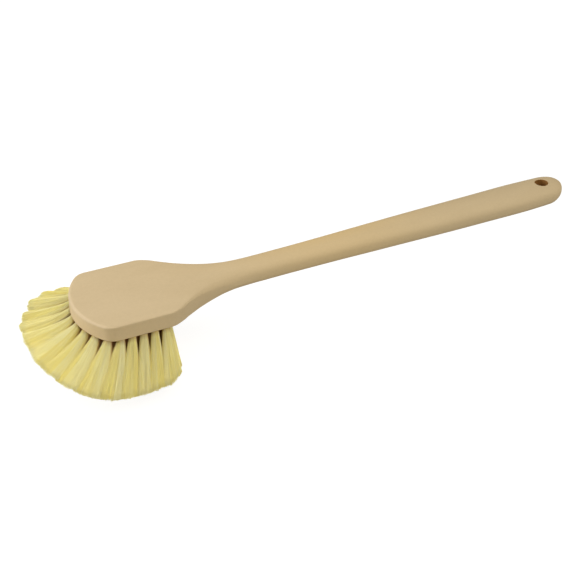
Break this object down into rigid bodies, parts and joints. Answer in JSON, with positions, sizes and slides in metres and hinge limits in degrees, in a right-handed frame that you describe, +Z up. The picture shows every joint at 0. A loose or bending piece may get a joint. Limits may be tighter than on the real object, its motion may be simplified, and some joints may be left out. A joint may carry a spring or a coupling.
{
  "type": "utility brush",
  "caption": "Long-handled utility scrub brush: one-piece block and oval handle with a hanging hole, and a splayed fan of stiff bristle tufts under the block.",
  "frame": {"origin": "below the middle of the brush's overall box, at the height of the lowest bristle tips", "axes": "+X from the block's nose to the handle's end, +Z up out of the block's flat back, bristles towards -Z, +Y to the right of someone who looks from the block along the handle with the bristles down"},
  "size_m": [0.5431, 0.1552, 0.0718],
  "materials": {
    "block_and_handle": "smooth matte tan structural-foam plastic",
    "bristle": "cream polypropylene filaments with cut ends"
  },
  "bodies": {
    "root": {"block_and_handle": "block_and_handle", "tuft_centre_1": "bristle", "tuft_centre_2": "bristle", "tuft_centre_3": "bristle", "tuft_outer_left_1": "bristle", "tuft_outer_left_2": "bristle", "tuft_outer_left_3": "bristle", "tuft_outer_left_4": "bristle", "tuft_outer_left_5": "bristle", "tuft_outer_left_6": "bristle", "tuft_outer_left_7": "bristle", "tuft_outer_left_8": "bristle", "tuft_outer_left_9": "bristle", "tuft_outer_rear_1": "bristle", "tuft_outer_rear_2": "bristle", "tuft_outer_rear_3": "bristle", "tuft_outer_rear_4": "bristle", "tuft_outer_rear_5": "bristle", "tuft_outer_rear_6": "bristle", "tuft_outer_rear_7": "bristle", "tuft_outer_right_1": "bristle", "tuft_outer_right_2": "bristle", "tuft_outer_right_3": "bristle", "tuft_outer_right_4": "bristle", "tuft_outer_right_5": "bristle", "tuft_outer_right_6": "bristle", "tuft_outer_right_7": "bristle", "tuft_outer_right_8": "bristle", "tuft_outer_right_9": "bristle", "tuft_second_left_1": "bristle", "tuft_second_left_2": "bristle", "tuft_second_left_3": "bristle", "tuft_second_left_4": "bristle", "tuft_second_left_5": "bristle", "tuft_second_left_6": "bristle", "tuft_second_nose": "bristle", "tuft_second_rear_1": "bristle", "tuft_second_rear_2": "bristle", "tuft_second_rear_3": "bristle", "tuft_second_rear_4": "bristle", "tuft_second_rear_5": "bristle", "tuft_second_right_1": "bristle", "tuft_second_right_2": "bristle", "tuft_second_right_3": "bristle", "tuft_second_right_4": "bristle", "tuft_second_right_5": "bristle", "tuft_second_right_6": "bristle", "tuft_third_left_1": "bristle", "tuft_third_left_2": "bristle", "tuft_third_left_3": "bristle", "tuft_third_nose": "bristle", "tuft_third_rear_1": "bristle", "tuft_third_rear_2": "bristle", "tuft_third_rear_3": "bristle", "tuft_third_right_1": "bristle", "tuft_third_right_2": "bristle", "tuft_third_right_3": "bristle"}
  },
  "joints": []
}
